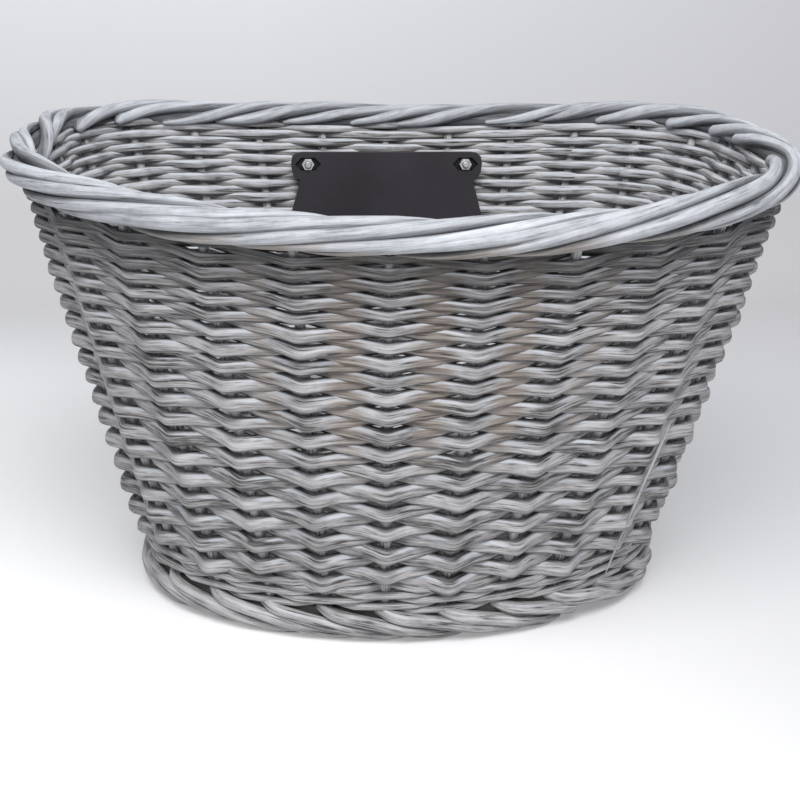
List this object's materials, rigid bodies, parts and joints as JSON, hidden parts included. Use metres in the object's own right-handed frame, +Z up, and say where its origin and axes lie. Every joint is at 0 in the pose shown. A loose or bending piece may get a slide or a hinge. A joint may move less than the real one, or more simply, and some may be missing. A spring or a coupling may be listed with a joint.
{
  "type": "bicycle basket",
  "caption": "D-shaped woven willow bicycle basket with tapered sides, a rolled rim, a board base and a bolted handlebar plate on its straight back.",
  "frame": {"origin": "on the ground under the middle of the whole basket", "axes": "+X across the width, +Y from the bowed front to the straight back that faces the handlebar, +Z up"},
  "size_m": [0.44, 0.3558, 0.276],
  "materials": {
    "washed_willow": "grey paint brushed thinly over round willow rods",
    "pale_willow": "paler grey-white paint on thick willow rods",
    "painted_board": "dark grey painted plywood",
    "black_plastic": "fine moulded grain",
    "zinc_steel": "bright zinc plate"
  },
  "bodies": {
    "root": {"foot_border": "washed_willow", "bottom_wale": "washed_willow", "stake_01": "washed_willow", "stake_02": "washed_willow", "stake_03": "washed_willow", "stake_04": "washed_willow", "stake_05": "washed_willow", "stake_06": "washed_willow", "stake_07": "washed_willow", "stake_08": "washed_willow", "stake_09": "washed_willow", "stake_10": "washed_willow", "stake_11": "washed_willow", "stake_12": "washed_willow", "stake_13": "washed_willow", "stake_14": "washed_willow", "stake_15": "washed_willow", "stake_16": "washed_willow", "stake_17": "washed_willow", "stake_18": "washed_willow", "stake_19": "washed_willow", "stake_20": "washed_willow", "stake_21": "washed_willow", "stake_22": "washed_willow", "stake_23": "washed_willow", "stake_24": "washed_willow", "stake_25": "washed_willow", "stake_26": "washed_willow", "stake_27": "washed_willow", "weaver_01": "washed_willow", "weaver_02": "washed_willow", "weaver_03": "washed_willow", "weaver_04": "washed_willow", "weaver_05": "washed_willow", "weaver_06": "washed_willow", "weaver_07": "washed_willow", "weaver_08": "washed_willow", "weaver_09": "washed_willow", "weaver_10": "washed_willow", "weaver_11": "washed_willow", "weaver_12": "washed_willow", "weaver_13": "washed_willow", "weaver_14": "washed_willow", "weaver_15": "washed_willow", "weaver_16": "washed_willow", "weaver_17": "washed_willow", "weaver_18": "washed_willow", "rim_border": "pale_willow", "base_board": "painted_board", "inside_plate": "black_plastic", "receiver_plate": "black_plastic", "bolt_upper_left": "zinc_steel", "nut_upper_left": "zinc_steel", "bolt_upper_right": "zinc_steel", "nut_upper_right": "zinc_steel", "bolt_lower_left": "zinc_steel", "nut_lower_left": "zinc_steel", "bolt_lower_right": "zinc_steel", "nut_lower_right": "zinc_steel"}
  },
  "joints": []
}
